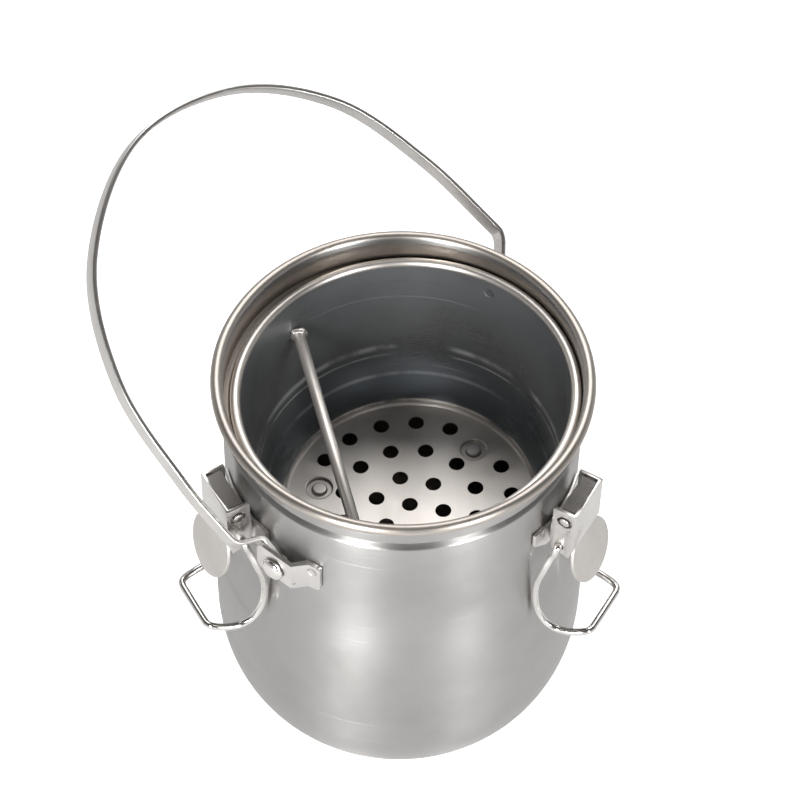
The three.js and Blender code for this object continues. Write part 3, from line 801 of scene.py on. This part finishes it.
def bail_line():
    bow = [(0.984, 0.13), (0.988, 0.31), (0.924, 0.586), (0.645, 0.844), (0.101, 1.004)]
    bow = [Vector((s * BAIL_NEAR, h * BAIL_HEIGHT)) for s, h in bow]
    rest = [(0.415, 0.954), (0.77, 0.762), (0.931, 0.502), (1, 0.242)]
    bow += [Vector((-s * BAIL_FAR, h * BAIL_HEIGHT)) for s, h in rest]
    near_end, near_step = Vector((BAIL_FOOT, -BAIL_TAIL)), Vector((BAIL_FOOT, BAIL_STEP))
    far_end, far_step = Vector((-BAIL_FOOT, -BAIL_TAIL)), Vector((-BAIL_FOOT, BAIL_STEP))
    near_elbow = Vector((0.976 * BAIL_NEAR, NEAR_ELBOW))
    far_elbow = Vector((0.5 - BAIL_FAR, FAR_ELBOW))
    line = [near_end] + round_corner(near_end, near_step, near_elbow, 1.1)
    line += round_corner(near_step, near_elbow, bow[0], 1.6)
    line += smooth_line(bow, 16)[1:-1]
    line += round_corner(bow[-1], far_elbow, far_step, 2.0)
    return line + round_corner(far_elbow, far_step, far_end, 1.4) + [far_end]


def bar_section(width, thick, edge, steps=4):
    """The strip's cross section as (across the thickness, across the width)."""
    x, y = thick / 2 - edge, width / 2 - edge
    corners = [(x, y, 0), (-x, y, 1), (-x, -y, 2), (x, -y, 3)]
    quarter = math.pi / 2
    rounds = [arc(cx, cy, edge, edge, q * quarter, (q + 1) * quarter, steps) for cx, cy, q in corners]
    return [point for quarter_round in rounds for point in quarter_round]


def sweep(line, section):
    """Carries a section along a flat line; the section's width stands up from the flat."""
    mesh = bmesh.new()
    rings = []
    for i, point in enumerate(line):
        ahead = line[min(i + 1, len(line) - 1)] - line[max(i - 1, 0)]
        side = Vector((ahead.y, -ahead.x)).normalized()
        places = [(*(point + side * thick), wide) for thick, wide in section]
        rings.append([mesh.verts.new(place) for place in places])
    count = len(section)
    for low, high in zip(rings, rings[1:]):
        for i in range(count):
            mesh.faces.new([low[i], low[(i + 1) % count], high[(i + 1) % count], high[i]])
    mesh.faces.new(rings[0])
    mesh.faces.new(rings[-1])
    bmesh.ops.recalc_face_normals(mesh, faces=mesh.faces)
    return mesh


def rivet_hole():
    """One long drill along X, through both of the bail's feet."""
    radius, half = BAIL_HOLE / 2, BAIL_FOOT + 5.75
    hole = turn_mesh([(0, -half), (radius, -half), (radius, half), (0, half)], 32)
    hole.transform(Matrix.Rotation(math.pi / 2, 4, "Y"))
    return hole


def bail_mesh():
    strip = sweep(bail_line(), bar_section(BAIL_WIDTH, BAIL_THICK, BAIL_EDGE))
    data = cut_away(to_mesh(strip, "strip"), rivet_hole())
    along = Vector((math.cos(RIVET_TURN), math.sin(RIVET_TURN), 0))
    lean = Vector((along.y, -along.x, 0)) * math.sin(BAIL_LEAN) + Vector((0, 0, math.cos(BAIL_LEAN)))
    frame_of_bail = Matrix((along, lean, along.cross(lean))).transposed().to_4x4()
    data.transform(Matrix.Translation((0, 0, BAIL_Z * MM)) @ frame_of_bail)
    return data


add_piece("bent_bail", bail_mesh(), sheet_steel, "bail", "bail", 50)

# %% [markdown]
# ### Rivets
# The bail turns on two rivets. Geometry Nodes makes two rivets of one: it puts two points on
# the can's axis and turns an instance on each, half a turn apart. The domed head is what makes
# the small round highlight.

# %% Set the rivets
RIVET = {"shank": 1.5, "head": 3.4, "dome": 1.9, "tail": 2.4}
LUG_GAP, LUG_SHEET, RIVET_SLACK, HEAD_EDGE = 0.4, 1.2, 0.3, 0.35
LUG_FACE = BAIL_FOOT + BAIL_THICK / 2 + LUG_GAP + LUG_SHEET
RIVET_SIZES = {"Turn": RIVET_TURN, "Height": BAIL_Z * MM}


def rivet_mesh():
    low, high = CAN["neck"] + RIVET_SLACK, BAIL_FOOT - BAIL_THICK / 2 - RIVET_SLACK
    head = LUG_FACE + RIVET_SLACK
    rise = RIVET["dome"] - HEAD_EDGE
    dome = arc(0, head + HEAD_EDGE, RIVET["head"], rise, 0, math.pi / 2, 14)
    outline = [(0, low), (RIVET["tail"], low), (RIVET["tail"], high), (RIVET["shank"], high),
               (RIVET["shank"], head), (RIVET["head"] - 0.15, head)]
    outline += dome[:-1] + [(0, head + RIVET["dome"])]
    mesh = turn_mesh(outline, 48)
    mesh.transform(Matrix.Rotation(math.pi / 2, 4, "Y"))
    return mesh


def rivet_tree(material):
    tree, graph, size = node_tree("two_rivets", RIVET_SIZES)
    place = graph.add("ShaderNodeCombineXYZ", sockets={2: size["Height"]})
    points = graph.add("GeometryNodePoints", sockets={"Count": 2, "Position": place})
    turn = graph.add("GeometryNodeInputIndex") * math.pi + size["Turn"]
    spin = graph.add("ShaderNodeCombineXYZ", sockets={2: turn})
    sockets = {0: points, "Instance": size["Geometry"], "Rotation": spin}
    finish_tree(graph, graph.add("GeometryNodeInstanceOnPoints", sockets=sockets), material)
    return tree


rivets = run_tree(rivet_tree(wire_steel), new_object("rivet", rivet_mesh()), RIVET_SIZES)
pair = add_piece("domed_rivets", rivets, wire_steel, "can", "near_bail_rivet")
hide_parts("far_bail_rivet")

# %% [markdown]
# ### Wire loops
# Each latch has a loop of round wire that hooks over a lid. One tree serves all three: a curve
# goes in, a circle is carried along it, and the result is turned to its place round the can.
# The curve's points are the middle line of the wire, chosen from the bends, and its
# height over the can follows the can's own radius.

# %% Bend the wire loops
LATCH_TURNS = {"right": 330.5, "left": 210.5, "back": 90.5}
PIN_X, PIN_Z = CAN["neck"] + 5.4, RIM_Z - 18.2
LOOP_X, LOOP_Z = PIN_X - 0.9, PIN_Z - 11.2
EAR, WIRE = 7.5, 1.0
LOOP_HALF, LOOP_END_HALF, LOOP_LENGTH, LOOP_REACH = 12, 8.6, 30.8, 12.5


def loop_points():
    def beside(spare, t, z):
        return math.sqrt((can_radius(z) + WIRE + spare) ** 2 - t**2)

    heel = beside(2.4, 0.98 * LOOP_HALF, LOOP_Z - 0.98 * LOOP_LENGTH)
    near = [(LOOP_X, EAR - 1.6, LOOP_Z), (LOOP_X, EAR + 0.5, LOOP_Z)]
    near.append((LOOP_X - 0.3, EAR + 1.5, LOOP_Z - 1))
    legs = [(0.77, 3.2, 0.12), (0.9, 2.6, 0.25), (0.975, 1.15, 0.45)]
    legs += [(1, 0.5, 0.64), (1, 0.75, 0.84)]
    for width, spare, drop in legs:
        t, z = width * LOOP_HALF, LOOP_Z - drop * LOOP_LENGTH
        near.append((beside(spare, t, z), t, z))
    shelf = [(0.98, 0, 0.98), (0.94, 0.26, 1.045), (0.89, 0.53, 1.04), (0.81, 0.78, 1.016)]
    for width, out, drop in shelf:
        near.append((heel + out * LOOP_REACH, width * LOOP_HALF, LOOP_Z - drop * LOOP_LENGTH))
    end = [(0.93, LOOP_END_HALF), (0.985, LOOP_END_HALF - 1.2), (1, LOOP_END_HALF - 3.2)]
    for out, half in end:
        near.append((heel + out * LOOP_REACH, half, LOOP_Z - LOOP_LENGTH))
    points = [Vector(p) for p in near]
    return points + [Vector((p.x, -p.y, p.z)) for p in points[::-1]]


def wire_curve():
    data = bpy.data.curves.new("wire", "CURVE")
    data.dimensions = "3D"
    line = smooth_line(loop_points(), 8)
    spline = data.splines.new("POLY")
    spline.points.add(len(line) - 1)
    for point, place in zip(spline.points, line):
        point.co = (*(place * MM), 1)
    return data


def wire_tree(material):
    tree, graph, size = node_tree("bent_wire", ("Wire radius", "Turn"))
    section = {"Resolution": 20, "Radius": size["Wire radius"]}
    circle = graph.add("GeometryNodeCurvePrimitiveCircle", sockets=section)
    sockets = {0: size["Geometry"], "Profile Curve": circle, "Fill Caps": True}
    wire = graph.add("GeometryNodeCurveToMesh", sockets=sockets)
    spin = graph.add("ShaderNodeCombineXYZ", sockets={2: size["Turn"]})
    finish_tree(graph, graph.add("GeometryNodeTransform", sockets={0: wire, "Rotation": spin}), material)
    return tree


bent_wire = wire_tree(wire_steel)
for place, turn in LATCH_TURNS.items():
    values = {"Wire radius": WIRE * MM, "Turn": math.radians(turn)}
    loop = run_tree(bent_wire, new_object("wire", wire_curve()), values)
    add_piece(place + "_bent_loop", loop, wire_steel, place + "_loop", place + "_latch_loop", 60)

# %% [markdown]
# ### Pressed sheet pieces
# The brackets, levers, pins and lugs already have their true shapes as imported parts. What
# they lack is the small rounding that a press leaves on sheet, which is where steel shines.
# Their meshes are left alone. A Weld modifier closes the loose triangles, and a narrow Bevel
# rounds only the sharp edges.

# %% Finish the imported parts
ROUNDING = {"bracket": 0.12, "lever": 0.16, "pin": 0.2, "lug": 0.18}
SHEET_FINISH = {"bracket": sheet_steel, "lever": sheet_steel, "pin": wire_steel, "lug": lug_steel}
DISC_TOP, DISC_REACH = 96.2, 56.6
WELD_REACH, ROUND_ABOVE = 0.02, 38


def round_edges(part, width):
    weld = part.modifiers.new("weld", "WELD")
    weld.merge_threshold = WELD_REACH * MM
    bevel = part.modifiers.new("round", "BEVEL")
    bevel.width = width * MM
    bevel.segments = 3
    bevel.limit_method = "ANGLE"
    bevel.angle_limit = math.radians(ROUND_ABOVE)
    bevel.harden_normals = False


def paint_disc(part):
    """The finger disc is matte: the lever's lowest and outermost faces get their own finish."""
    part.data.materials.append(disc_steel)
    for face in part.data.polygons:
        x, y, z = part.matrix_world @ face.center / MM
        if z < DISC_TOP and math.hypot(x, y) > DISC_REACH:
            face.material_index = 1


for name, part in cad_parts.items():
    kind = name.split("_")[-1]
    if kind not in ROUNDING:
        continue
    part.data.materials.clear()
    part.data.materials.append(SHEET_FINISH[kind])
    if kind == "lever":
        paint_disc(part)
    part.data.shade_smooth()
    round_edges(part, ROUNDING[kind])
print("packed parts finished:", sum(n.split("_")[-1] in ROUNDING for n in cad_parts))
